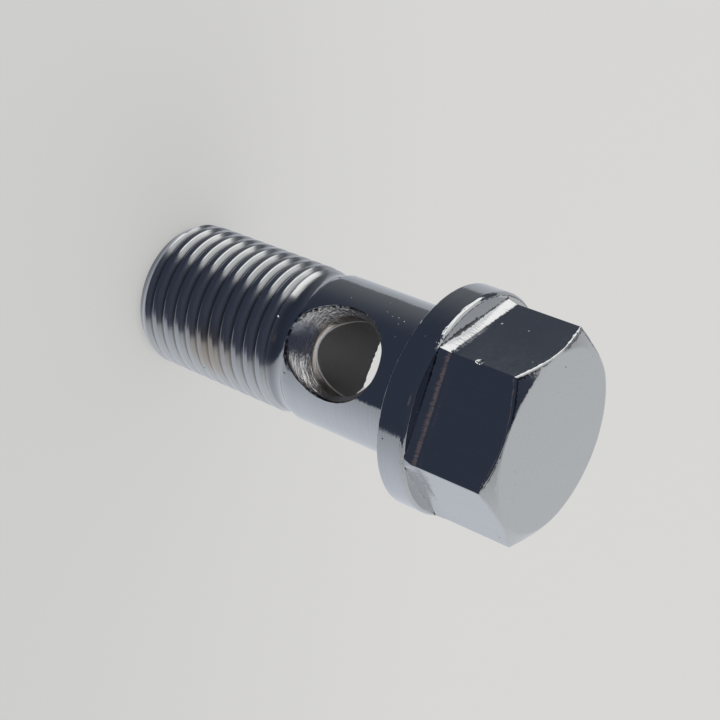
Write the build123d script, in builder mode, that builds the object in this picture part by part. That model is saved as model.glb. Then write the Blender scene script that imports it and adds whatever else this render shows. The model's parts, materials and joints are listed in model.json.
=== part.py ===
from build123d import *
from math import radians, tan
import os

# An M10 x 1 banjo bolt, 12 mm across flats: a hollow screw that clamps a banjo
# fitting and carries fluid between its cross hole and its threaded end.
# The origin is on the bolt's axis at the bearing face under the collar, with the
# head above it and the shank below it.

# Shank and thread, millimetres
THREAD_DIAMETER = 9.85
THREAD_END_DIAMETER = 9.0
THREAD_END_LENGTH = 0.8
LENGTH_UNDER_HEAD = 22.0
SHANK_DIAMETER = 9.9
PLAIN_SHANK_LENGTH = 9.15
NECK_LENGTH = 1.8
NECK_DEPTH = 0.25

# Head
COLLAR_DIAMETER = 14.4
COLLAR_THICKNESS = 2.0
COLLAR_EDGE_BREAK = 0.08
HEX_SIDES = 6
ACROSS_FLATS = 12.0
HEX_HEIGHT = 5.8
HEX_TURN = 6.4
HEX_CORNER_RADIUS = 0.12
RUNOUT_HEIGHT = 0.85
RUNOUT_WIDTH = 0.16
TOP_FACE_DIAMETER = 11.7
TOP_CHAMFER_ANGLE = 30.0

# Fluid way
BORE_DIAMETER = 5.3
BORE_PAST_CROSS_HOLE = 1.0
DRILL_POINT_ANGLE = 118.0
BORE_MOUTH_CHAMFER = 0.4
CROSS_HOLE_DIAMETER = 5.0
CROSS_HOLE_DROP = 5.9
COUNTERSINK_DIAMETER = 7.1
COUNTERSINK_ANGLE = 60.0

# Radii and levels that follow from them
thread_radius = THREAD_DIAMETER / 2
shank_radius = SHANK_DIAMETER / 2
collar_radius = COLLAR_DIAMETER / 2
flat_distance = ACROSS_FLATS / 2
first_flat_angle = HEX_TURN + 180 / HEX_SIDES
top_face_radius = TOP_FACE_DIAMETER / 2
bore_radius = BORE_DIAMETER / 2
head_top = COLLAR_THICKNESS + HEX_HEIGHT
end_face = -LENGTH_UNDER_HEAD
neck_bottom = -PLAIN_SHANK_LENGTH - NECK_LENGTH / 2
thread_top = -PLAIN_SHANK_LENGTH - NECK_LENGTH
thread_end = end_face + THREAD_END_LENGTH
top_chamfer_drop = (collar_radius - top_face_radius) * tan(radians(TOP_CHAMFER_ANGLE))
bore_end = -CROSS_HOLE_DROP + BORE_PAST_CROSS_HOLE
drill_point_length = bore_radius / tan(radians(DRILL_POINT_ANGLE / 2))

# A cutter for one flat of the hexagon: its side is the flat, it runs out in a
# shallow arc towards the collar, and its underside is the collar's upper face
cutter_reach = 2 * collar_radius
with BuildPart() as flat_cutter:
    with BuildSketch(Plane.XZ):
        with BuildLine():
            flat_side = Line((flat_distance, head_top), (flat_distance, COLLAR_THICKNESS + RUNOUT_HEIGHT))
            runout = TangentArc(
                flat_side @ 1,
                (flat_distance + RUNOUT_WIDTH, COLLAR_THICKNESS),
                tangent=flat_side % 1,
            )
            Polyline(
                runout @ 1,
                (cutter_reach, COLLAR_THICKNESS),
                (cutter_reach, head_top),
                flat_side @ 0,
            )
        make_face()
    extrude(amount=collar_radius, both=True)

with BuildPart() as banjo_bolt:
    # Turned blank: threaded end, thread, run-out neck, plain shank, collar and head
    with BuildSketch(Plane.XZ):
        with BuildLine():
            threaded_side = Polyline(
                (0, end_face),
                (THREAD_END_DIAMETER / 2, end_face),
                (thread_radius, thread_end),
                (thread_radius, thread_top),
            )
            neck = ThreePointArc(
                threaded_side @ 1,
                (shank_radius - NECK_DEPTH, neck_bottom),
                (shank_radius, -PLAIN_SHANK_LENGTH),
            )
            Polyline(
                neck @ 1,
                (shank_radius, 0),
                (collar_radius - COLLAR_EDGE_BREAK, 0),
                (collar_radius, COLLAR_EDGE_BREAK),
                (collar_radius, head_top - top_chamfer_drop),
                (top_face_radius, head_top),
                (0, head_top),
                (0, end_face),
            )
        make_face()
    revolve(axis=Axis.Z)

    # The flats, which leave the round collar under the hexagon
    with PolarLocations(0, HEX_SIDES, start_angle=first_flat_angle):
        add(flat_cutter.part, mode=Mode.SUBTRACT)

    # The collar's upper rim, broken as its lower rim is in the blank
    with BuildSketch(Plane.XZ):
        with BuildLine():
            Polyline(
                (collar_radius - COLLAR_EDGE_BREAK, COLLAR_THICKNESS),
                (collar_radius, COLLAR_THICKNESS - COLLAR_EDGE_BREAK),
                (collar_radius, COLLAR_THICKNESS),
                close=True,
            )
        make_face()
    revolve(axis=Axis.Z, mode=Mode.SUBTRACT)

    # Blind bore from the threaded end to just past the cross hole
    with BuildSketch(Plane.XZ):
        with BuildLine():
            Polyline(
                (0, end_face),
                (bore_radius + BORE_MOUTH_CHAMFER, end_face),
                (bore_radius, end_face + BORE_MOUTH_CHAMFER),
                (bore_radius, bore_end),
                (0, bore_end + drill_point_length),
                (0, end_face),
            )
        make_face()
    revolve(axis=Axis.Z, mode=Mode.SUBTRACT)

    # Cross hole, right through the shank and countersunk where it comes out
    for side in (-1, 1):
        with Locations(Plane(origin=(0, side * shank_radius, -CROSS_HOLE_DROP), z_dir=(0, side, 0))):
            CounterSinkHole(
                radius=CROSS_HOLE_DIAMETER / 2,
                counter_sink_radius=COUNTERSINK_DIAMETER / 2,
                depth=shank_radius,
                counter_sink_angle=COUNTERSINK_ANGLE,
            )

    # Hexagon corners just off sharp
    corners = banjo_bolt.edges().filter_by(
        lambda edge: edge.center().Z > COLLAR_THICKNESS + RUNOUT_HEIGHT
    ).filter_by(Axis.Z)
    fillet(corners, radius=HEX_CORNER_RADIUS)

banjo_bolt.part.label = "banjo_bolt"

os.makedirs("parts", exist_ok=True)
export_step(banjo_bolt.part, "parts/banjo_bolt.step")
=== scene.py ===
"""A chrome-plated banjo bolt, M10 x 1, modelled from its turned blank to its rolled thread, in a small studio."""
import json
from math import atan2, cos, hypot, pi, radians, sin, sqrt, tan
from types import SimpleNamespace

import bmesh
import bpy
from mathutils import Matrix, Vector, noise


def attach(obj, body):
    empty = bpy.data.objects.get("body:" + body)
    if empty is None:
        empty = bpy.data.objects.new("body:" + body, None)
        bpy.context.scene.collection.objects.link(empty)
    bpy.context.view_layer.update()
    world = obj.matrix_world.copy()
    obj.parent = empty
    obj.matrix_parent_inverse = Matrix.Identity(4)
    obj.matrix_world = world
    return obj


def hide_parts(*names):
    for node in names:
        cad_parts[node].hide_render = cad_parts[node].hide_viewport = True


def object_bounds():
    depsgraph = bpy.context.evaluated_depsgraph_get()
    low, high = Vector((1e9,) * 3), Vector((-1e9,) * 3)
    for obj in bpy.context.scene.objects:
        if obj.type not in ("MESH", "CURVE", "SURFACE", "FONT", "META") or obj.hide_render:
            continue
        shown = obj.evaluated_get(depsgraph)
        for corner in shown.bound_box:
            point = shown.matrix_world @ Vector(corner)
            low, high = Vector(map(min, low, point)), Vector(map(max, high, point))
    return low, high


bl_info = {
    "name": "Banjo Bolt",
    "version": (1, 0, 0),
    "blender": (4, 5, 0),
    "location": "View3D > Sidebar > Bolt",
    "description": "Builds a hollow chrome-plated bolt and the studio that shows it",
    "category": "Add Mesh",
}

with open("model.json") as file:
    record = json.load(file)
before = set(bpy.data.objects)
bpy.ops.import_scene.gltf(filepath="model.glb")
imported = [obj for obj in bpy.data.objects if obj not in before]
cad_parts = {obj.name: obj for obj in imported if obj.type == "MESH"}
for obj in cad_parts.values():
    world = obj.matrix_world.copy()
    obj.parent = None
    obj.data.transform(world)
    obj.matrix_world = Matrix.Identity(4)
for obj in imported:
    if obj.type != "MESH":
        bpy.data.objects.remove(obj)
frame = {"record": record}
CAD_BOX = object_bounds()
MOUNTS = {mount["name"]: mount for mount in frame["record"]["mounts"]}

MILLIMETRE = 0.001
FULL_TURN = 2 * pi


# Sizes and colours that a user would change


def length(name, description, millimetres):
    """A length that a user can change, given in millimetres."""
    return bpy.props.FloatProperty(
        name=name, description=description, default=millimetres * MILLIMETRE, min=0.0, unit="LENGTH", precision=5
    )


def offset(name, description, millimetres):
    """A distance to either side that a user can change, given in millimetres."""
    return bpy.props.FloatProperty(
        name=name, description=description, default=millimetres * MILLIMETRE, unit="LENGTH", precision=5
    )


def colour(name, description, default):
    """A colour that a user can change."""
    return bpy.props.FloatVectorProperty(
        name=name, description=description, default=default, size=3, min=0.0, max=1.0, subtype="COLOR"
    )


def mount_size(mount, key):
    """A size of one of the part's mounts, in millimetres."""
    return MOUNTS[mount]["dims"][key]


class BoltHeadSizes(bpy.types.PropertyGroup):
    """Sizes of the collar and of the hexagon"""

    collar_diameter: length("Collar diameter", "Round collar under the hexagon", 2 * CAD_BOX[1].x / MILLIMETRE)
    collar_thickness: length("Collar thickness", "Bearing face to the ledge", 2.0)
    collar_break: length("Collar edge break", "Small chamfer on both rims of the collar", 0.08)
    across_flats: length("Across flats", "Spanner size of the hexagon", 12.0)
    corner_radius: length("Corner radius", "Rounding of the hexagon's upright corners", 0.12)
    head_height: length("Head height", "Bearing face to the top of the head", CAD_BOX[1].z / MILLIMETRE)
    top_diameter: length("Top face diameter", "Round flat inside the top chamfer", 11.7)
    runout_height: length("Run-out height", "Height over which each flat flares at its foot", 0.85)
    runout_width: length("Run-out width", "How far each flat flares at its foot", 0.16)
    rim_softness: length("Rim softness", "Rounding of the collar's turned edges", 0.035)
    edge_softness: length("Edge softness", "Rounding of the edges round the top chamfer", 0.075)
    edge_wear: length("Edge wear", "Depth of the small knocks along the edges", 0.038)
    hexagon_offset_x: offset("Hexagon offset X", "The forged hexagon sits a little off the turned axis", 0.22)
    hexagon_offset_y: offset("Hexagon offset Y", "The forged hexagon sits a little off the turned axis", -0.05)
    chamfer_angle: bpy.props.FloatProperty(
        name="Chamfer angle", description="Fall of the top chamfer", default=radians(30), subtype="ANGLE"
    )
    hexagon_turn: bpy.props.FloatProperty(
        name="Hexagon turn", description="Angle from X to a corner", default=radians(6.4), subtype="ANGLE"
    )


class BoltShankSizes(bpy.types.PropertyGroup):
    """Sizes of the shank, the neck and the thread"""

    length_under_head: length("Length under head", "Bearing face to the threaded end", -CAD_BOX[0].z / MILLIMETRE)
    shank_diameter: length("Shank diameter", "Plain shank under the collar", 2 * mount_size("banjo_seat", "r_mm"))
    plain_length: length("Plain length", "Bearing face to the neck", mount_size("banjo_seat", "length_mm"))
    neck_length: length("Neck length", "Length of the run-out neck", 1.8)
    neck_depth: length("Neck depth", "Depth of the run-out neck", 0.25)
    thread_diameter: length("Thread diameter", "Over the thread's crests", 2 * mount_size("thread", "r_mm"))
    pitch: length("Pitch", "Advance of the thread in one turn", 1.0)
    thread_depth: length("Thread depth", "Crest to root", 0.27)
    end_diameter: length("End diameter", "Flat of the threaded end", 9.0)
    end_length: length("End chamfer length", "Length of the chamfer at the threaded end", 0.8)
    thread_start: bpy.props.FloatProperty(
        name="Thread start", description="Where the thread starts round the bolt", default=radians(30), subtype="ANGLE"
    )


class BoltFluidWaySizes(bpy.types.PropertyGroup):
    """Sizes of the bore and of the cross hole"""

    bore_diameter: length("Bore diameter", "Blind bore along the axis", 2 * mount_size("axial_bore", "r_mm"))
    bore_length: length("Bore length", "Straight wall of the bore", mount_size("axial_bore", "length_mm"))
    mouth_chamfer: length("Mouth chamfer", "Chamfer at the bore's mouth", 0.4)
    cross_diameter: length("Cross hole diameter", "Hole through the shank", 2 * mount_size("cross_hole", "r_mm"))
    cross_drop: length(
        "Cross hole drop", "Bearing face to the cross hole", -MOUNTS["cross_hole"]["pos_m"][2] / MILLIMETRE
    )
    countersink_diameter: length("Countersink diameter", "Cross hole's countersink at the shank", 7.1)
    countersink_edge: length("Countersink edge", "Rounding between countersink and hole", 0.07)
    drill_angle: bpy.props.FloatProperty(
        name="Drill point", description="Point angle of the bore's drill", default=radians(118), subtype="ANGLE"
    )
    countersink_angle: bpy.props.FloatProperty(
        name="Countersink angle", description="Full angle of the countersink", default=radians(60), subtype="ANGLE"
    )


class PlateFinish(bpy.types.PropertyGroup):
    """Colours of the plate, of what lies on it, and of the painted light and shade on it"""

    plate: colour("Plate", "Colour of the bright chrome plate", (0.585, 0.61, 0.645))
    # Painted light: a lighter colour that brightens the blind bore
    thin_plate: colour("Thin plate", "Where the plate is thin, in the holes", (0.76, 0.75, 0.74))
    cut_metal: colour("Cut metal", "Torn bright metal of the countersinks", (0.82, 0.82, 0.84))
    # Dark colour for pits and scuffs, and for painted shade in the thread's roots, on the ledge and as a painted
    # shadow under the hole's rim
    dirt: colour("Dirt", "What lies in pits and in the roots of the thread", (0.08, 0.08, 0.09))
    stain: colour("Stain", "Brown film left in the thread", (0.50, 0.43, 0.36))


class StudioLook(bpy.types.PropertyGroup):
    """Colours of the floor and of the room"""

    floor: colour("Floor", "Pale paper under the bolt", (0.665, 0.660, 0.645))
    # Painted shade: the floor darkens towards this colour on one side
    floor_shade: colour("Floor shade", "The paper at its darker side", (0.600, 0.600, 0.595))
    bright_side: colour("Bright side", "The pale side of the room", (0.70, 0.70, 0.69))
    low_side: colour("Low side", "The foot of the room's pale side", (0.67, 0.69, 0.73))
    dark_side: colour("Dark side", "The dark side of the room", (0.040, 0.048, 0.072))
    dim_side: colour("Dim side", "The dark side where it meets the pale side", (0.285, 0.29, 0.28))
    warm_side: colour("Warm side", "A warm thing in the dark side of the room", (0.15, 0.117, 0.12))


def in_millimetres(*groups):
    """The sizes of these groups as plain numbers: lengths in millimetres and angles in radians."""
    sizes = {}
    for group in groups:
        for prop in group.bl_rna.properties:
            if prop.type == "FLOAT":
                value = getattr(group, prop.identifier)
                sizes[prop.identifier] = value / MILLIMETRE if prop.unit == "LENGTH" else value
    return SimpleNamespace(**sizes)


# Profiles: points are (radius, level) in millimetres, level being the height over the bearing face

EDGE_STEPS = (1, 2, 3)
EDGE_ROWS = 2 * len(EDGE_STEPS) + 1
SHORTEST_SIDE = 7


def softened(corners, reach):
    """A profile with each inner corner rounded: three points before it, one on its arc and three after it.

    Where a side is short, the points draw together so that the side stays seven of their steps long."""
    points = [corners[0]]
    for before, corner, after in zip(corners, corners[1:], corners[2:]):
        back, onward = before - corner, after - corner
        near = min(reach, back.length / SHORTEST_SIDE, onward.length / SHORTEST_SIDE)
        back, onward = back.normalized() * near, onward.normalized() * near
        points += [corner + step * back for step in reversed(EDGE_STEPS)]
        points += [corner + (back + onward) / 4]
        points += [corner + step * onward for step in EDGE_STEPS]
    return points + [corners[-1]]


def hexagon_radius(apothem, corner_radius, off_flat):
    """Distance from the axis to a hexagon's side, at an angle from the middle of a flat."""
    off_corner = pi / 6 - abs(off_flat)
    centre = (apothem - corner_radius) / cos(pi / 6)
    if tan(off_corner) < corner_radius / 2 / (centre + corner_radius * cos(pi / 6)):
        return centre * cos(off_corner) + sqrt(corner_radius**2 - (centre * sin(off_corner)) ** 2)
    return apothem / cos(off_flat)


RUNOUT_STEPS = 8
RUNOUT_CURVE = 1.4
FLAT_COLUMNS = 64
HEAD_COLUMNS = 6 * FLAT_COLUMNS
UNDERSIDE_RING = 5.8
TOP_RING_SHARE = 0.9
RIM_ROLL_HEIGHT = 0.26
RIM_ROLL_DEPTH = 0.04
RIM_BEVEL = 0.12
WEAR_GRAIN = 3

# Rows of the head's outline, counted from its underside: where its softened edges start, and which rows are worn
COLLAR_EDGES = 5
HEXAGON_START = 1 + EDGE_ROWS * COLLAR_EDGES
TOP_START = HEXAGON_START + EDGE_ROWS + RUNOUT_STEPS
EDGE_STARTS = [*range(1, HEXAGON_START + 1, EDGE_ROWS), TOP_START, TOP_START + EDGE_ROWS]
WORN_ROWS = [start + EDGE_ROWS // 2 + step for start in EDGE_STARTS for step in (-1, 0, 1)]


def head_section(size, off_flat):
    """The head's outline from its underside to its top face, at an angle from the middle of a flat."""
    collar, flat, top = size.collar_diameter / 2, size.across_flats / 2, size.top_diameter / 2
    ledge = size.collar_thickness

    def side(flare):
        return hexagon_radius(flat + flare, size.corner_radius, off_flat)

    runout = []
    for step in range(1, RUNOUT_STEPS + 1):
        rise = size.runout_height * step / RUNOUT_STEPS
        flare = size.runout_width * (1 - step / RUNOUT_STEPS) ** RUNOUT_CURVE
        runout.append(Vector((side(flare), ledge + rise)))
    collar_and_ledge = [
        Vector((UNDERSIDE_RING, 0)),
        Vector((collar - size.collar_break, 0)),
        Vector((collar, size.collar_break)),
        Vector((collar, ledge - RIM_ROLL_HEIGHT)),
        Vector((collar - RIM_ROLL_DEPTH, ledge - RIM_BEVEL)),
        Vector((collar - RIM_ROLL_DEPTH - RIM_BEVEL, ledge)),
        Vector((side(size.runout_width), ledge)),
        runout[0],
    ]
    shoulder = size.head_height - (side(0) - top) * tan(size.chamfer_angle)
    flat_and_top = [
        runout[-1],
        Vector((side(0), shoulder)),
        Vector((top, size.head_height)),
        Vector((top * TOP_RING_SHARE, size.head_height)),
    ]
    foot = softened(collar_and_ledge, size.rim_softness)
    return foot + runout[1:-1] + softened(flat_and_top, size.edge_softness)


THREAD_ROWS = 18
SHANK_COLUMNS = 180
PLAIN_ROW_STEP = 9
FREE_OF_HEAD = 0.01
ROW_SLACK = 0.01
CREST_SHARE = 0.34
CREST_ROUNDING = 0.06
THREAD_FADE = 0.75
THREAD_OVERRUN = 1.5
HEAD_OVERRUN = 1.0


def groove(share):
    """Depth of the thread's groove, from 0 on the crest to 1 at the root, at a share of the pitch from a crest.

    The crest is flat, rounds off and runs down a straight flank to a sharp root."""
    way = max(0.0, min(share, 1 - share) - CREST_SHARE / 2)
    full = 0.5 - CREST_SHARE / 2 - CREST_ROUNDING / 2
    if way < CREST_ROUNDING:
        return way**2 / (2 * CREST_ROUNDING) / full
    return (way - CREST_ROUNDING / 2) / full


def shank_radius(size, level, turn):
    """Radius of the shank at a level and an angle: shank, neck, thread and end chamfer."""
    crest, plain = size.thread_diameter / 2, size.shank_diameter / 2
    neck_top, neck_foot = -size.plain_length, -size.plain_length - size.neck_length
    end = -size.length_under_head
    if level >= neck_top:
        return plain
    way = (level - neck_foot) / size.neck_length
    if level > neck_foot:
        radius = crest + (plain - crest) * way - size.neck_depth * 4 * way * (1 - way)
        fade = max(0.0, 1 - way / THREAD_FADE) ** 2
    else:
        face = size.end_diameter / 2
        radius = min(crest, face + (level - end) * (crest - face) / size.end_length)
        fade = 1.0
    share = (level / size.pitch - (turn - size.thread_start) / FULL_TURN) % 1.0
    return min(radius, crest - size.thread_depth * groove(share) * fade)


BORE_COLUMNS = 120
BORE_WALL_ROWS = 24
DRILL_TIP_SHARE = 1 / 40


def bore_section(size):
    """The blind bore's outline, from its mouth to its drill point."""
    mouth = -size.length_under_head
    radius = size.bore_diameter / 2
    wall_foot = mouth + size.mouth_chamfer
    rise = size.bore_length / BORE_WALL_ROWS
    wall = [Vector((radius, wall_foot + rise * step)) for step in range(BORE_WALL_ROWS + 1)]
    tip = wall[-1].y + radius / tan(size.drill_angle / 2)
    return [Vector((radius + size.mouth_chamfer, mouth)), *wall, Vector((radius * DRILL_TIP_SHARE, tip))]


CUTTER_COLUMNS = 160
CONE_ROWS = 26
WALL_ROWS = 20
CUTTER_OVERREACH = 1.2
CHATTER_DEPTH = 0.014
CHATTER_GRAIN = 2.2
CHATTER_GRAIN_ALONG = 5
RIM_WEAR_DEPTH = 0.04
RIM_WEAR_REACH = 0.14
RIM_WEAR_GRAIN = 9
LIP_DROP = 1.66
LIP_PLACE = 2.6
LIP_SLOPE = 0.68
LIP_LEAST = 1.3
LIP_TEAR = 0.08
LIP_GRAIN = 9
LIP_FINE_GRAIN = 24


def cross_hole_section(size):
    """Half the cross hole's cutter as (radius, distance along its axis), from outside the shank to the middle."""
    hole, mouth = size.cross_diameter / 2, size.countersink_diameter / 2
    outside = size.shank_diameter / 2
    slope = tan(size.countersink_angle / 2)
    seat = outside - (mouth - hole) / slope
    corners = [
        Vector((mouth + CUTTER_OVERREACH * slope, outside + CUTTER_OVERREACH)),
        Vector((hole, seat)),
        Vector((hole, 0)),
    ]
    start, *edge, middle = softened(corners, size.countersink_edge)
    cone = [start.lerp(edge[0], step / CONE_ROWS) for step in range(CONE_ROWS)]
    wall = [edge[-1].lerp(middle, step / WALL_ROWS) for step in range(1, WALL_ROWS + 1)]
    return cone + edge + wall


# Mesh steps

WELD = 1e-4
PLANE_REACH = 1e-5
RIM_REACH = 0.05


def round_axis(radius, turn, level):
    """The point at a distance from the axis, an angle round it and a level."""
    return Vector((radius * cos(turn), radius * sin(turn), level))


def ring_skin(bm, rows, columns, place, climb=0):
    """A grid rolled up into rings, each vertex set by its row and its column, and welded where it meets itself.

    With a climb, in rows for each turn, the rings are the turns of one helix."""
    skin = bmesh.ops.create_grid(bm, x_segments=columns, y_segments=rows - 1, size=1.0)["verts"]
    seam = []
    for vert in skin:
        column = round((vert.co.x + 1) / 2 * columns)
        row = (vert.co.y + 1) / 2 * (rows - 1)
        vert.co = place(row + climb * column / columns, column % columns)
        if column in (0, columns):
            seam.append(vert)
    bmesh.ops.remove_doubles(bm, verts=seam, dist=WELD)
    return [vert for vert in skin if vert.is_valid]


def rim_edges(bm, level, radius):
    """The open edges of a skin at a level and near a radius."""

    def on_rim(vert):
        return abs(vert.co.z - level) < WELD and abs(hypot(vert.co.x, vert.co.y) - radius) < RIM_REACH

    return [edge for edge in bm.edges if edge.is_boundary and all(on_rim(vert) for vert in edge.verts)]


def add_head(bm, size):
    """The collar and the hexagon, with columns that draw together towards the hexagon's corners."""
    sections = []
    turns = []
    for column in range(HEAD_COLUMNS):
        off_flat = pi / 6 * sin(pi / 2 * (2 * (column % FLAT_COLUMNS) / FLAT_COLUMNS - 1))
        sections.append(head_section(size, off_flat))
        turns.append(size.hexagon_turn + (column // FLAT_COLUMNS + 0.5) * pi / 3 + off_flat)
    shift = Vector((size.hexagon_offset_x, size.hexagon_offset_y, 0))
    furthest = size.collar_diameter / 2 - size.collar_break

    def place(row, column):
        row = round(row)
        radius, level = sections[column][row]
        around = Vector((cos(turns[column]), sin(turns[column]), 0))
        spot = radius * around + Vector((0, 0, level))
        if row in WORN_ROWS:
            knocks = noise.noise(spot * WEAR_GRAIN) + 0.7 * noise.noise(spot * 3 * WEAR_GRAIN)
            spot -= around * size.edge_wear * max(0.0, knocks)
        if row >= HEXAGON_START:
            spot += shift
            beyond = max(1.0, hypot(spot.x, spot.y) / furthest)
            spot.x /= beyond
            spot.y /= beyond
        return spot

    ring_skin(bm, len(sections[0]), HEAD_COLUMNS, place)
    top = size.head_height - WELD
    top_rim = [edge for edge in bm.edges if edge.is_boundary and all(vert.co.z > top for vert in edge.verts)]
    bmesh.ops.contextual_create(bm, geom=top_rim)


def add_threaded_shank(bm, size):
    """Shank, neck and thread as one helix of rows, overlong at first and then cut off at both ends."""
    row_height = size.pitch / THREAD_ROWS
    start = -size.length_under_head - THREAD_OVERRUN * size.pitch
    rows = round((HEAD_OVERRUN * size.pitch - start) / row_height)

    def place(row, column):
        level = start + row * row_height
        turn = FULL_TURN * column / SHANK_COLUMNS
        return round_axis(shank_radius(size, level, turn), turn, level)

    made = ring_skin(bm, rows, SHANK_COLUMNS, place, climb=THREAD_ROWS)
    for level, side in ((0, 1), (-size.length_under_head, -1)):
        # Each element once and in a fixed order, so that every run gives the same mesh
        verts = [vert for vert in made if vert.is_valid]
        skin = dict.fromkeys(element for vert in verts for element in (vert, *vert.link_edges, *vert.link_faces))
        plane = {"plane_co": (0, 0, level), "plane_no": (0, 0, side)}
        bmesh.ops.bisect_plane(bm, geom=list(skin), dist=PLANE_REACH, clear_outer=True, **plane)
    thin_plain_rows(bm, size, start, row_height)


def thin_plain_rows(bm, size, start, row_height):
    """Takes out most of the rows on the plain shank, where nothing changes along the axis."""
    plain = []
    for edge in bm.edges:
        if edge.is_boundary or any(not -size.plain_length < vert.co.z < -FREE_OF_HEAD for vert in edge.verts):
            continue
        rows = []
        for vert in edge.verts:
            turn = atan2(vert.co.y, vert.co.x) % FULL_TURN
            rows.append((vert.co.z - start) / row_height - THREAD_ROWS * turn / FULL_TURN)
        slanted = abs((rows[0] - rows[1] + 0.5) % THREAD_ROWS - 0.5) < ROW_SLACK
        if slanted and round(rows[0]) % PLAIN_ROW_STEP:
            plain.append(edge)
    bmesh.ops.dissolve_edges(bm, edges=plain, use_verts=True)


def add_bore(bm, size):
    """The blind bore's wall and drill point, closed at the tip."""
    section = bore_section(size)

    def place(row, column):
        radius, level = section[round(row)]
        return round_axis(radius, FULL_TURN * column / BORE_COLUMNS, level)

    ring_skin(bm, len(section), BORE_COLUMNS, place)
    bmesh.ops.contextual_create(bm, geom=rim_edges(bm, section[-1].y, section[-1].x))


def bolt_blank(size):
    """The bolt without its cross hole, closed all round."""
    bm = bmesh.new()
    add_threaded_shank(bm, size)
    add_head(bm, size)
    add_bore(bm, size)
    end = -size.length_under_head
    mouth = size.bore_diameter / 2 + size.mouth_chamfer
    joints = ((0, size.shank_diameter / 2, UNDERSIDE_RING), (end, size.end_diameter / 2, mouth))
    for level, first, second in joints:
        bmesh.ops.bridge_loops(bm, edges=rim_edges(bm, level, first) + rim_edges(bm, level, second))
    bmesh.ops.recalc_face_normals(bm, faces=bm.faces)
    return bm


def cross_hole_cutter(size):
    """A solid the shape of the cross hole and both countersinks, with the marks that the tool leaves.

    Towards +Y a torn lip of metal narrows the hole from below."""
    half = cross_hole_section(size)
    section = half + [Vector((point.x, -point.y)) for point in reversed(half[:-1])]
    outside = size.shank_diameter / 2

    def place(row, column):
        radius, along = section[round(row)]
        turn = FULL_TURN * column / CUTTER_COLUMNS
        across, down = cos(turn), sin(turn)
        spot = Vector((across * CHATTER_GRAIN, down * CHATTER_GRAIN, along * CHATTER_GRAIN_ALONG))
        chatter = noise.noise(spot) + 0.5 * noise.noise(spot * 2.6)
        surface = sqrt(max(outside**2 - (radius * across) ** 2, 0.0))
        near_rim = max(0.0, 1 + min(0.0, abs(along) - surface) / RIM_WEAR_REACH)
        ragged = 0.6 + 0.8 * noise.noise(Vector((across * RIM_WEAR_GRAIN, down * RIM_WEAR_GRAIN, along)))
        radius += CHATTER_DEPTH * chatter + RIM_WEAR_DEPTH * near_rim**2 * ragged
        if along > 0 and down < 0:
            lip = max(LIP_LEAST, LIP_DROP + LIP_SLOPE * (along - LIP_PLACE))
            torn = noise.noise(Vector((across * LIP_GRAIN, 3, 0)))
            torn += 0.6 * noise.noise(Vector((across * LIP_FINE_GRAIN, 7, 0)))
            radius = min(radius, (lip + LIP_TEAR * torn) / -down)
        return Vector((radius * across, along, radius * down - size.cross_drop))

    bm = bmesh.new()
    ring_skin(bm, len(section), CUTTER_COLUMNS, place)
    bmesh.ops.holes_fill(bm, edges=bm.edges)
    bmesh.ops.recalc_face_normals(bm, faces=bm.faces)
    return bm


def new_object(name, bm):
    """An object in the scene that holds the mesh."""
    mesh = bpy.data.meshes.new(name)
    bm.to_mesh(mesh)
    bm.free()
    piece = bpy.data.objects.new(name, mesh)
    bpy.context.scene.collection.objects.link(piece)
    return piece


def cut_away(piece, cutter):
    """Takes the cutter's shape out of the piece and deletes the cutter."""
    modifier = piece.modifiers.new("Cross hole", "BOOLEAN")
    modifier.operation = "DIFFERENCE"
    modifier.solver = "MANIFOLD"
    modifier.object = cutter
    graph = bpy.context.evaluated_depsgraph_get()
    cut = bpy.data.meshes.new_from_object(piece.evaluated_get(graph))
    piece.modifiers.remove(modifier)
    blank, piece.data = piece.data, cut
    bpy.data.meshes.remove(blank)
    bpy.data.objects.remove(cutter)
    if len(piece.data.polygons) == 0:
        raise RuntimeError("the cross hole could not be cut")


# Shader helpers


class Value:
    """A shader socket that takes part in Python sums, each of which adds a Math node."""

    def __init__(self, nodes, socket):
        self.nodes = nodes
        self.socket = socket

    def math(self, operation, *others):
        return self.nodes.add("ShaderNodeMath", {"operation": operation}, self, *others)

    def __add__(self, other):
        return self.math("ADD", other)

    def __radd__(self, other):
        return self.math("ADD", other)

    def __sub__(self, other):
        return self.math("SUBTRACT", other)

    def __rsub__(self, other):
        return self.nodes.add("ShaderNodeMath", {"operation": "SUBTRACT"}, other, self)

    def __mul__(self, other):
        return self.math("MULTIPLY", other)

    def __rmul__(self, other):
        return self.math("MULTIPLY", other)

    def __pow__(self, other):
        return self.math("POWER", other)

    def __abs__(self):
        return self.math("ABSOLUTE")


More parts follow.
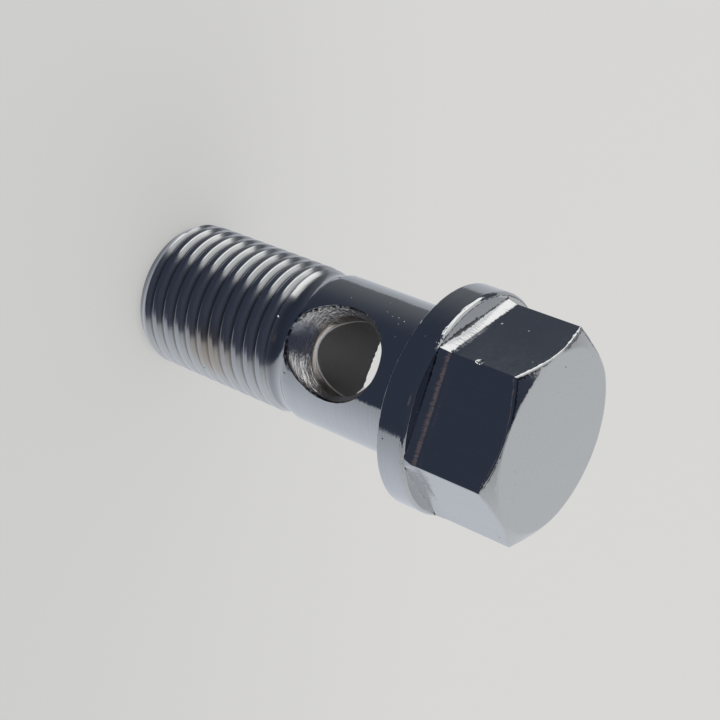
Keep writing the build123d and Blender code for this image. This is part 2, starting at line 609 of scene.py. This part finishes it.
class Nodes:
    """The node tree of a material or of the world, with one call that adds any node."""

    def __init__(self, tree):
        self.tree = tree
        tree.nodes.clear()

    def add(self, kind, settings=None, *values, output=0, at=None, **named):
        node = self.tree.nodes.new(kind)
        for key, value in (settings or {}).items():
            setattr(node, key, value)
        inputs = {**dict(enumerate(values)), **(at or {}), **named}
        for key, value in inputs.items():
            socket = node.inputs[key.replace("_", " ") if isinstance(key, str) else key]
            if isinstance(value, Value):
                self.tree.links.new(value.socket, socket)
            elif hasattr(socket.default_value, "__len__") and len(socket.default_value) == 4 and len(value) == 3:
                socket.default_value = (*value, 1)
            else:
                socket.default_value = value
        return Value(self, node.outputs[output]) if node.outputs else node

    def smooth(self, value, low, high):
        """0 below low, 1 above high and a smooth rise between them."""
        return self.add(
            "ShaderNodeMapRange", {"interpolation_type": "SMOOTHSTEP"}, value, From_Min=low, From_Max=high
        )

    def fade(self, value, low, high):
        """1 below low, 0 above high and a smooth fall between them."""
        return 1 - self.smooth(value, low, high)

    def band(self, value, start, full, last, end):
        """0 outside start and end, and 1 from full to last."""
        return self.smooth(value, start, full) * self.fade(value, last, end)

    def clamp(self, value, low=0.0, high=1.0):
        return self.add("ShaderNodeClamp", None, value, low, high)

    def mix(self, share, first, second):
        """A colour between two."""
        return self.add("ShaderNodeMix", {"data_type": "RGBA"}, at={0: share, 6: first, 7: second}, output=2)

    def blend(self, share, first, second):
        """A number between two."""
        return self.add("ShaderNodeMix", {"data_type": "FLOAT"}, at={0: share, 2: first, 3: second})

    def stretched_noise(self, place, stretch, detail):
        """Noise whose grain is stretched, the stretch being in grains for each unit of length."""
        spread = self.add("ShaderNodeMapping", {"vector_type": "POINT"}, place, Scale=stretch)
        return self.add("ShaderNodeTexNoise", None, spread, Scale=1.0, Detail=detail)

    def distance(self, place, centre, weights=(1, 1, 1)):
        """Distance from a centre, with each axis weighed."""
        moved = self.add("ShaderNodeVectorMath", {"operation": "SUBTRACT"}, place, centre)
        weighed = self.add("ShaderNodeVectorMath", {"operation": "MULTIPLY"}, moved, weights)
        return self.add("ShaderNodeVectorMath", {"operation": "LENGTH"}, weighed, output=1)

    def along(self, place, direction):
        """How far a place is along a direction."""
        return self.add("ShaderNodeVectorMath", {"operation": "DOT_PRODUCT"}, place, direction, output=1)


def new_material(name):
    """A material, and its empty node tree."""
    material = bpy.data.materials.new(name)
    material.use_nodes = True
    return material, Nodes(material.node_tree)


# The plate: lengths in millimetres, and noise in grains for each millimetre along X, Y and Z

NOISES = {
    "turning": ((0.15, 0.15, 9), 2.0),
    "milling": ((7, 7, 0.25), 2.0),
    "rolling": ((0.6, 0.6, 5), 2.0),
    "ripple": ((0.9, 0.9, 0.9), 2.0),
    "grain": ((7, 7, 7), 2.0),
    "drilling": ((1.0, 9, 1.0), 3.0),
    "tearing": ((4.5, 4.5, 4.5), 3.0),
    "pit_size": ((1.3, 1.3, 1.3), 0.0),
    "haze": ((0.35, 0.35, 0.35), 3.0),
    "film": ((0.4, 0.4, 2), 2.0),
}
TURNING_DEPTH = 0.006
ROLLING_DEPTH = 0.008
MILLING_DEPTH = 0.004
FOOT_MILLING_DEPTH = 0.012
TOP_LINES_LOST = 0.8
RIPPLE_DEPTH = 0.008
GRAIN_DEPTH = 0.0014
CHAMFER_GRAIN_DEPTH = 0.002
DRILLING_DEPTH = 0.008
SCORED_DEPTH = 0.026
TEARING_DEPTH = 0.015
TORN_DEPTH = 0.09
PIT_DEPTH = 0.03
PIT_SPREAD = 1.6

# Nicks: on the bolt's side as the angle round it in degrees, level, reach and depth, and on its top as X, Y and reach
SIDE_NICKS = (
    (-114.8, 4.65, 0.28, 0.09),
    (-113.5, 4.90, 0.22, 0.05),
    (-116.3, 2.80, 0.16, 0.04),
    (-115.5, 2.00, 0.16, 0.05),
    (-153.0, 3.30, 0.08, 0.02),
    (-155.0, 5.00, 0.06, 0.015),
    (-154.0, -7.00, 0.07, 0.02),
    (-154.5, -3.00, 0.06, 0.015),
    (-117.0, -2.30, 0.05, 0.012),
    (-131.5, -2.50, 0.06, 0.012),
    (-133.0, -3.00, 0.05, 0.012),
    (-127.5, -2.70, 0.04, 0.01),
    (-101.0, -10.65, 0.18, 0.05),
    (-62.5, -8.95, 0.12, 0.04),
)
TOP_NICKS = (
    (2.4, -3.7, 0.13),
    (2.5, -3.4, 0.09),
    (3.2, -3.0, 0.11),
    (0.6, -5.5, 0.07),
    (-5.3, 0.6, 0.10),
    (-3.4, 4.2, 0.09),
    (0.5, 5.6, 0.08),
    (-2.6, -1.9, 0.06),
)
TOP_NICK_DEPTH = 0.03
NICK_FLOOR_SHARE = 0.3

FILM_PLACE = (2.9, -3.9, -15.4)
FILM_SHARE = 0.7
# How far the marks darken the plate: the place where the painted shade on the ledge spreads widest, painted shade in
# the thread's roots, painted shade on the ledge and how much of it fades out to one side, a darker band along the top
# chamfer's edge, and scuffs
WIDER_SHADE_PLACE = (-4.1, -4.5)
ROOT_SHADE = 0.5
LEDGE_SHADE = 0.85
CREASE_LOST = 0.8
EDGE_DARKENING = 0.75
SCUFF_DIRT = 0.2

PLATE_ROUGHNESS = 0.06
HAZE_ROUGHNESS = 0.04
THREAD_ROUGHNESS = 0.15
HOLE_ROUGHNESS = 0.1
BORE_ROUGHNESS = 0.3
PIT_ROUGHNESS = 0.3
ROUGHNESS_LIMITS = (0.04, 0.7)


def on_side(size, degrees, level):
    """The point on the bolt's side at an angle round it and a level."""
    turn = radians(degrees)
    middle = Vector((0, 0, level))
    if level > size.collar_thickness:
        off_flat = (turn - size.hexagon_turn) % (pi / 3) - pi / 6
        radius = hexagon_radius(size.across_flats / 2, size.corner_radius, off_flat)
        middle += Vector((size.hexagon_offset_x, size.hexagon_offset_y, 0))
    elif level > 0:
        radius = size.collar_diameter / 2
    else:
        radius = shank_radius(size, level, turn)
    return middle + radius * Vector((cos(turn), sin(turn), 0))


def nicks(size):
    """Every nick as its centre, its reach and its depth."""
    on_sides = [(on_side(size, turn, level), reach, depth) for turn, level, reach, depth in SIDE_NICKS]
    on_top = [(Vector((x, y, size.head_height)), reach, TOP_NICK_DEPTH) for x, y, reach in TOP_NICKS]
    return on_sides + on_top


def bolt_places(nodes, size):
    """Where a point of the bolt is: its distances, and for each part of the bolt a mask from 0 to 1."""
    metres = nodes.add("ShaderNodeTexCoord", output=3)
    spot = nodes.add("ShaderNodeVectorMath", {"operation": "SCALE"}, metres, Scale=1 / MILLIMETRE)
    at = SimpleNamespace(spot=spot)
    at.sideways, at.depth, at.level = [
        nodes.add("ShaderNodeSeparateXYZ", None, spot, output=axis) for axis in range(3)
    ]
    at.from_axis = nodes.distance(spot, (0, 0, 0), (1, 1, 0))
    at.from_hole = nodes.distance(spot, (0, 0, -size.cross_drop), (1, 0, 1))
    hexagon_middle = (size.hexagon_offset_x, size.hexagon_offset_y, 0)
    from_middle = nodes.add("ShaderNodeVectorMath", {"operation": "SUBTRACT"}, spot, hexagon_middle)
    at.toward_flat = 0
    for pair in range(3):
        turn = size.hexagon_turn + (pair + 0.5) * pi / 3
        reach = abs(nodes.along(from_middle, (cos(turn), sin(turn), 0)))
        at.toward_flat = reach.math("MAXIMUM", at.toward_flat)

    shank, mouth, bore = size.shank_diameter / 2, size.countersink_diameter / 2, size.bore_diameter / 2
    ledge, top, bore_tip = size.collar_thickness, size.head_height, bore_section(size)[-1].y
    neck_top, neck_foot = -size.plain_length, -size.plain_length - size.neck_length
    slope = tan(size.chamfer_angle)
    cone = top + size.top_diameter / 2 * slope
    under_surface = nodes.fade(at.from_axis, shank - 0.10, shank - 0.03)
    at.in_hole = under_surface * nodes.fade(at.from_hole, mouth + 0.11, mouth + 0.15)
    below_tip = nodes.fade(at.level, bore_tip + 0.1, bore_tip + 0.3)
    at.in_bore = nodes.fade(at.from_axis, bore + 0.10, bore + 0.30) * below_tip
    at.on_hexagon = nodes.smooth(at.level, ledge + 0.02, ledge + 0.10)
    at.on_top = nodes.smooth(at.level, top - 0.06, top - 0.03)
    at.on_thread = nodes.fade(at.level, neck_foot + 0.35, neck_top - 0.25)
    at.on_chamfer = nodes.smooth(at.level + at.from_axis * slope, cone - 0.33, cone - 0.13) * (1 - at.on_top)
    return at


def plate_marks(nodes, at):
    """The noises behind each tool's marks, and the pits."""
    marks = SimpleNamespace()
    for name, (grains, detail) in NOISES.items():
        setattr(marks, name, nodes.stretched_noise(at.spot, grains, detail))
    cells = nodes.add("ShaderNodeTexVoronoi", {"feature": "F1"}, at.spot, Scale=PIT_SPREAD, Randomness=1.0)
    marks.pit = nodes.fade(cells, 0.05, 0.11) * nodes.smooth(marks.pit_size, 0.66, 0.70) * (1 - at.in_hole)
    return marks


def plate_height(nodes, size, at, marks):
    """Height of the plate: tool marks, ripple, grain, pits and nicks."""
    ledge = size.collar_thickness
    at_foot = nodes.fade(at.level, ledge + 0.9, ledge + 1.3)
    milled = marks.milling * (MILLING_DEPTH + FOOT_MILLING_DEPTH * at_foot)
    turned = nodes.blend(at.on_thread, marks.turning * TURNING_DEPTH, marks.rolling * ROLLING_DEPTH)
    lines = nodes.blend(at.on_hexagon, turned, milled)
    lines = lines * (1 - at.on_top * TOP_LINES_LOST) * (1 - at.in_hole)
    grain = marks.grain * (GRAIN_DEPTH + CHAMFER_GRAIN_DEPTH * at.on_chamfer)
    torn = nodes.fade(at.sideways, -2.6, -1.2) * nodes.fade(at.depth, -1.0, 0.0)
    scored = nodes.smooth(at.sideways, -0.5, 1.2)
    cuts = marks.drilling * (DRILLING_DEPTH + SCORED_DEPTH * scored)
    cuts = cuts + marks.tearing * (TEARING_DEPTH + TORN_DEPTH * torn)
    height = lines + marks.ripple * RIPPLE_DEPTH + grain
    height = height + at.in_hole * (1 - at.in_bore) * cuts - marks.pit * PIT_DEPTH
    for centre, reach, depth in nicks(size):
        near = nodes.fade(nodes.distance(at.spot, centre), reach * NICK_FLOOR_SHARE, reach)
        height = height - depth * near
    return height


def plate_dirt_and_shade(nodes, size, at, marks):
    """How dark the plate is, from 0 to 1.

    Dirt lies in pits and scuffs. Painted shade lies in the thread's roots and on the ledge, a painted shadow lies
    under the hole's rim, and a darker band runs along the top chamfer's edge."""
    shank, mouth = size.shank_diameter / 2, size.countersink_diameter / 2
    root = size.thread_diameter / 2 - size.thread_depth
    collar, ledge, wall = size.collar_diameter / 2, size.collar_thickness, size.across_flats / 2
    jagged = marks.tearing - 0.5

    # Painted shade: the thread's roots are darkened
    in_root = nodes.band(at.from_axis, root - 0.255, root - 0.155, root + 0.025, root + 0.145) * at.on_thread
    # Painted shadow: a ragged dark band round the countersink just under the shank's surface, as under a burr
    rim = nodes.band(at.from_axis, shank - 0.34, shank - 0.14, shank - 0.02, shank)
    rim = rim * nodes.fade(at.from_hole, mouth + 0.02, mouth + 0.06)
    rim = rim * nodes.smooth(marks.tearing + 0.25 * nodes.smooth(at.sideways, 0.0, 1.5), 0.42, 0.55)

    # Painted shade on the ledge: along the crease at the foot of the flats and in a broken line just inside the
    # collar's rim, wider and climbing a little up the flats round one place, and mostly gone towards +X
    foot = wall + size.runout_width
    wider_shade = nodes.fade(nodes.distance(at.spot, (*WIDER_SHADE_PLACE, ledge)), 0.6, 2.0)
    over_ledge = nodes.fade(at.level - 0.10 * wider_shade - 0.3 * jagged, ledge + 0.03, ledge + 0.06)
    on_ledge = nodes.smooth(at.level, ledge - 0.03, ledge - 0.01) * over_ledge
    crease = nodes.fade(at.toward_flat - 0.5 * jagged - 0.13 * wider_shade, foot + 0.03, foot + 0.08)
    inside_rim = nodes.band(at.from_axis, collar - 0.25, collar - 0.21, collar - 0.18, collar - 0.15)
    crease = on_ledge * nodes.clamp(crease + inside_rim * nodes.smooth(marks.tearing, 0.4, 0.5))
    crease = crease * (1 - CREASE_LOST * nodes.smooth(at.sideways, -1.5, 2.0))

    # A darker band on the top chamfer along its edge with the flats, left out towards +X
    at_edge = nodes.smooth(at.toward_flat + 0.4 * jagged, wall - 0.20, wall - 0.15) * at.on_chamfer
    at_edge = at_edge * nodes.fade(at.toward_flat, wall - 0.10, wall - 0.06)
    at_edge = at_edge * nodes.fade(at.sideways, 3.7, 4.2)
    scuff = nodes.clamp(nodes.blend(at.on_hexagon, marks.turning, marks.milling) - 0.45) * (1 - at.in_hole)
    dirt = marks.pit + in_root * ROOT_SHADE + rim + crease * LEDGE_SHADE + at_edge * EDGE_DARKENING
    return nodes.clamp(dirt + scuff * SCUFF_DIRT)


def plate_tint(nodes, finish, size, at, marks):
    """The plate's colour: chrome, the film on the thread, the hole's torn metal, a lighter colour painted as light in
    the bore, and the darkening of pits, scuffs and painted shade.
    """
    film = nodes.fade(nodes.distance(at.spot, FILM_PLACE, (0.8, 0.8, 0.8)), 0.6, 2.2)
    film = film * nodes.smooth(marks.film, 0.2, 0.5)
    hole = size.cross_diameter / 2
    hole_wall = nodes.fade(at.from_hole, hole + 0.04, hole + 0.07) * at.in_hole * (1 - at.in_bore)
    hole_wall = hole_wall * nodes.fade(at.depth, -2.0, -1.0)
    tint = nodes.mix(film * FILM_SHARE, finish.plate[:], finish.stain[:])
    tint = nodes.mix(at.in_hole, tint, finish.cut_metal[:])
    # The near part of the cross hole's wall is browned and darkened with the stain colour
    tint = nodes.mix(hole_wall * (0.35 + 0.6 * marks.drilling), tint, finish.stain[:])
    # Painted light: the blind bore takes a lighter colour that brightens it
    tint = nodes.mix(at.in_bore, tint, finish.thin_plate[:])
    return nodes.mix(plate_dirt_and_shade(nodes, size, at, marks), tint, finish.dirt[:])


def chrome_plate(finish, size):
    """Bright chrome over turned and milled steel: turning lines, milling streaks, pits, stains and drill marks."""
    material, nodes = new_material("chrome_plate")
    at = bolt_places(nodes, size)
    marks = plate_marks(nodes, at)
    haze = nodes.smooth(marks.haze, 0.4, 0.7)
    roughness = PLATE_ROUGHNESS + HAZE_ROUGHNESS * haze + THREAD_ROUGHNESS * at.on_thread
    roughness = roughness + HOLE_ROUGHNESS * at.in_hole + BORE_ROUGHNESS * at.in_bore + PIT_ROUGHNESS * marks.pit
    height = plate_height(nodes, size, at, marks)
    bump = nodes.add("ShaderNodeBump", None, Strength=1.0, Distance=MILLIMETRE, Height=height)
    shader = nodes.add(
        "ShaderNodeBsdfPrincipled",
        None,
        Base_Color=plate_tint(nodes, finish, size, at, marks),
        Metallic=1.0,
        Roughness=nodes.clamp(roughness, *ROUGHNESS_LIMITS),
        Normal=bump,
    )
    nodes.add("ShaderNodeOutputMaterial", None, shader)
    return material


# The floor's painted shade darkens it along this direction over this reach; the shadow share is what the camera still
# sees of the lit paper beside its glow
FLOOR_SHADE_DIRECTION = (0.57, -0.82, 0)
FLOOR_SHADE_REACH = 0.035
SHADOW_SHARE = 0.35
PAPER_ROUGHNESS = 0.9


def paper(look):
    """Pale matt paper with painted shade that makes it a little darker to one side; to the camera it partly glows in
    its own colour, which softens its shadows.
    """
    material, nodes = new_material("pale_paper")
    place = nodes.add("ShaderNodeTexCoord", output=3)
    along = nodes.along(place, FLOOR_SHADE_DIRECTION)
    shaded = nodes.smooth(along, -FLOOR_SHADE_REACH, FLOOR_SHADE_REACH)
    shade = nodes.mix(shaded, look.floor[:], look.floor_shade[:])
    matt = nodes.add("ShaderNodeBsdfPrincipled", None, Base_Color=shade, Roughness=PAPER_ROUGHNESS)
    glow = nodes.add("ShaderNodeEmission", None, shade, 1.0)
    seen = nodes.add("ShaderNodeLightPath", output="Is Camera Ray") * (1 - SHADOW_SHARE)
    surface = nodes.add("ShaderNodeMixShader", None, seen, matt, glow)
    nodes.add("ShaderNodeOutputMaterial", None, surface)
    return material


def direction(turn, rise=0):
    """The unit vector at an angle round Z from X and an angle over the floor, both in degrees."""
    turn, rise = radians(turn), radians(rise)
    return (cos(turn) * cos(rise), sin(turn) * cos(rise), sin(rise))


# The room: a level is the upward part of a direction, and a reach is how far a direction is along a side
BRIGHT_SIDE = direction(53.49, -5.82)
BRIGHT_EDGE = 0.073
BRIGHT_EDGE_BLUR = 0.015
BRIGHT_REACHES = (-0.35, 1.0)
BRIGHT_LEAST = 0.48
PALE_LEVELS = (-0.6, 0.3)
DIM_SIDE = direction(125)
DIM_REACHES = (-0.2, 1.05)
DIM_SHARE = 0.17
LOW_DIM_SHARE = 0.47
LOW_DIM_LEVELS = (-0.49, -0.43)
WARM_SIDE = direction(-76, -15)
WARM_REACHES = (0.9925, 0.998)
WINDOW_TURN = 188
WINDOW_SIDE = direction(WINDOW_TURN)
WINDOW_ACROSS = direction(WINDOW_TURN + 90)
WINDOW_HALF_WIDTH = 0.58
WINDOW_FLARE = 0.7
FLARE_LEVELS = (0.42, 0.7)
WINDOW_BLUR = 0.02
WINDOW_FOOT = (-0.355, -0.325)
WINDOW_HEAD = (0.83, 0.89)
GLASS = (1.40, 1.36, 1.28)
UPPER_GLASS = (0.68, 0.67, 0.65)
GLASS_LEVELS = (0.2, 0.48)
AMBIENT = (0.9, 0.9, 0.9)


def polished_room(nodes, look):
    """What polished metal mirrors, by direction: a pale side, a dark side with a warm thing, and a tall window."""
    toward = nodes.add("ShaderNodeTexCoord")
    level = nodes.add("ShaderNodeSeparateXYZ", None, toward, output=2)
    bright = nodes.along(toward, BRIGHT_SIDE)
    pale = nodes.mix(nodes.smooth(level, *PALE_LEVELS), look.low_side[:], look.bright_side[:])
    strength = BRIGHT_LEAST + (1 - BRIGHT_LEAST) * nodes.smooth(bright, *BRIGHT_REACHES)
    pale = nodes.mix(strength, (0, 0, 0), pale)

    dim = nodes.smooth(nodes.along(toward, DIM_SIDE), *DIM_REACHES) ** 2.0
    dim = dim * (DIM_SHARE + LOW_DIM_SHARE * nodes.fade(level, *LOW_DIM_LEVELS))
    dark = nodes.mix(dim, look.dark_side[:], look.dim_side[:])
    warm = nodes.smooth(nodes.along(toward, WARM_SIDE), *WARM_REACHES)
    dark = nodes.mix(warm, dark, look.warm_side[:])
    on_bright = nodes.smooth(bright, BRIGHT_EDGE - BRIGHT_EDGE_BLUR, BRIGHT_EDGE + BRIGHT_EDGE_BLUR)
    room = nodes.mix(on_bright, dark, pale)

    across = nodes.along(toward, WINDOW_ACROSS)
    half_width = nodes.along(toward, WINDOW_SIDE) * WINDOW_HALF_WIDTH
    wide = half_width + WINDOW_FLARE * nodes.smooth(level, *FLARE_LEVELS)
    window = nodes.smooth(half_width - across, -WINDOW_BLUR, WINDOW_BLUR)
    window = window * nodes.smooth(wide + across, -WINDOW_BLUR, WINDOW_BLUR)
    window = window * nodes.band(level, *WINDOW_FOOT, *WINDOW_HEAD)
    glass = nodes.mix(nodes.smooth(level, *GLASS_LEVELS), GLASS, UPPER_GLASS)
    return nodes.mix(window, room, glass)


def light_room(world, look):
    """Even light from all round, the room's pale side behind the floor, and the room for polished metal."""
    world.use_nodes = True
    nodes = Nodes(world.node_tree)
    seen = nodes.add("ShaderNodeLightPath", output="Is Camera Ray")
    glossy = nodes.add("ShaderNodeLightPath", output="Is Glossy Ray")
    through = nodes.add("ShaderNodeLightPath", output="Is Transmission Ray")
    plain = nodes.mix(seen, AMBIENT, look.bright_side[:])
    shade = nodes.mix(glossy.math("MAXIMUM", through), plain, polished_room(nodes, look))
    background = nodes.add("ShaderNodeBackground", None, shade, 1.0)
    nodes.add("ShaderNodeOutputWorld", None, background)


# Operators

SHARP_ANGLE = radians(34)


class BOLT_OT_add_bolt(bpy.types.Operator):
    """Adds the bolt: head, shank, thread, bore and cross hole in one closed mesh with its plate finish"""

    bl_idname = "bolt.add_bolt"
    bl_label = "Banjo Bolt"

    def execute(self, context):
        scene = context.scene
        size = in_millimetres(scene.bolt_head, scene.bolt_shank, scene.bolt_fluid_way)
        bolt = new_object("banjo_bolt_plated", bolt_blank(size))
        cut_away(bolt, new_object("cross_hole_cutter", cross_hole_cutter(size)))
        bolt.data.transform(Matrix.Scale(MILLIMETRE, 4))
        bolt.data.shade_smooth()
        bolt.data.set_sharp_from_angle(angle=SHARP_ANGLE)
        bolt.data.materials.clear()
        bolt.data.materials.append(chrome_plate(scene.bolt_finish, size))
        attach(bolt, "root")
        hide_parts("banjo_bolt")
        return {"FINISHED"}


CAMERA_AIM = Vector((-0.11, -3.10, -4.90))
CAMERA_PLACE = Vector((-3.18, -86.07, 47.62))
CAMERA_ROLL = radians(111.86)
CAMERA_LENS = 80.04
SENSOR_WIDTH = 36
CLIP_START = 0.005
FLOOR_WIDTH = 3.0
FLOOR_SEGMENTS = 96
LAMP_PLACE = Vector((0.25, 0.2, 0.5))
LAMP_WIDTH = 0.5
LAMP_POWER = 0.9


class BOLT_OT_add_studio(bpy.types.Operator):
    """Adds the paper floor, the soft lamp, the room's light and the camera"""

    bl_idname = "bolt.add_studio"
    bl_label = "Studio"

    def execute(self, context):
        scene = context.scene
        look = scene.bolt_studio
        self.add_floor(scene, look)
        self.add_lamp(scene)
        if scene.world is None:
            scene.world = bpy.data.worlds.new("Studio")
        light_room(scene.world, look)
        self.add_camera(scene)
        scene.view_settings.view_transform = "Standard"
        return {"FINISHED"}

    def add_floor(self, scene, look):
        bm = bmesh.new()
        bmesh.ops.create_circle(bm, cap_ends=True, segments=FLOOR_SEGMENTS, radius=FLOOR_WIDTH / 2)
        bmesh.ops.translate(bm, verts=bm.verts, vec=(0, 0, CAD_BOX[0].z))
        floor = new_object("paper_floor", bm)
        floor.data.materials.append(paper(look))
        floor.visible_glossy = False

    def add_lamp(self, scene):
        lamp = bpy.data.lights.new("Soft lamp", "AREA")
        lamp.shape = "DISK"
        lamp.size = LAMP_WIDTH
        lamp.energy = LAMP_POWER
        holder = bpy.data.objects.new("Soft lamp", lamp)
        holder.location = LAMP_PLACE
        holder.rotation_euler = (-LAMP_PLACE).to_track_quat("-Z", "Y").to_euler()
        holder.visible_glossy = False
        scene.collection.objects.link(holder)

    def add_camera(self, scene):
        camera = bpy.data.objects.new("Camera", bpy.data.cameras.new("Camera"))
        camera.data.lens = CAMERA_LENS
        camera.data.sensor_width = SENSOR_WIDTH
        camera.data.clip_start = CLIP_START
        place, aim = CAMERA_PLACE * MILLIMETRE, CAMERA_AIM * MILLIMETRE
        look = (aim - place).to_track_quat("-Z", "Y").to_matrix().to_4x4()
        camera.matrix_world = Matrix.Translation(place) @ look @ Matrix.Rotation(CAMERA_ROLL, 4, "Z")
        scene.collection.objects.link(camera)
        scene.camera = camera


class BOLT_PT_panel(bpy.types.Panel):
    """Lists the bolt's pieces and sizes"""

    bl_idname = "BOLT_PT_panel"
    bl_label = "Banjo Bolt"
    bl_space_type = "VIEW_3D"
    bl_region_type = "UI"
    bl_category = "Bolt"

    def draw(self, context):
        layout = self.layout
        for step in STEPS:
            layout.operator(step.bl_idname)
        for name in GROUPS:
            box = layout.box()
            group = getattr(context.scene, name)
            for prop in group.bl_rna.properties:
                if prop.type == "FLOAT":
                    box.prop(group, prop.identifier)


GROUPS = {
    "bolt_head": BoltHeadSizes,
    "bolt_shank": BoltShankSizes,
    "bolt_fluid_way": BoltFluidWaySizes,
    "bolt_finish": PlateFinish,
    "bolt_studio": StudioLook,
}
STEPS = (BOLT_OT_add_bolt, BOLT_OT_add_studio)


def register():
    for cls in (*GROUPS.values(), *STEPS, BOLT_PT_panel):
        bpy.utils.register_class(cls)
    for name, group in GROUPS.items():
        setattr(bpy.types.Scene, name, bpy.props.PointerProperty(type=group))


def unregister():
    for name in GROUPS:
        delattr(bpy.types.Scene, name)
    for cls in reversed((*GROUPS.values(), *STEPS, BOLT_PT_panel)):
        bpy.utils.unregister_class(cls)


def main():
    register()
    bpy.ops.bolt.add_bolt()
    bpy.ops.bolt.add_studio()


if __name__ == "__main__":
    main()
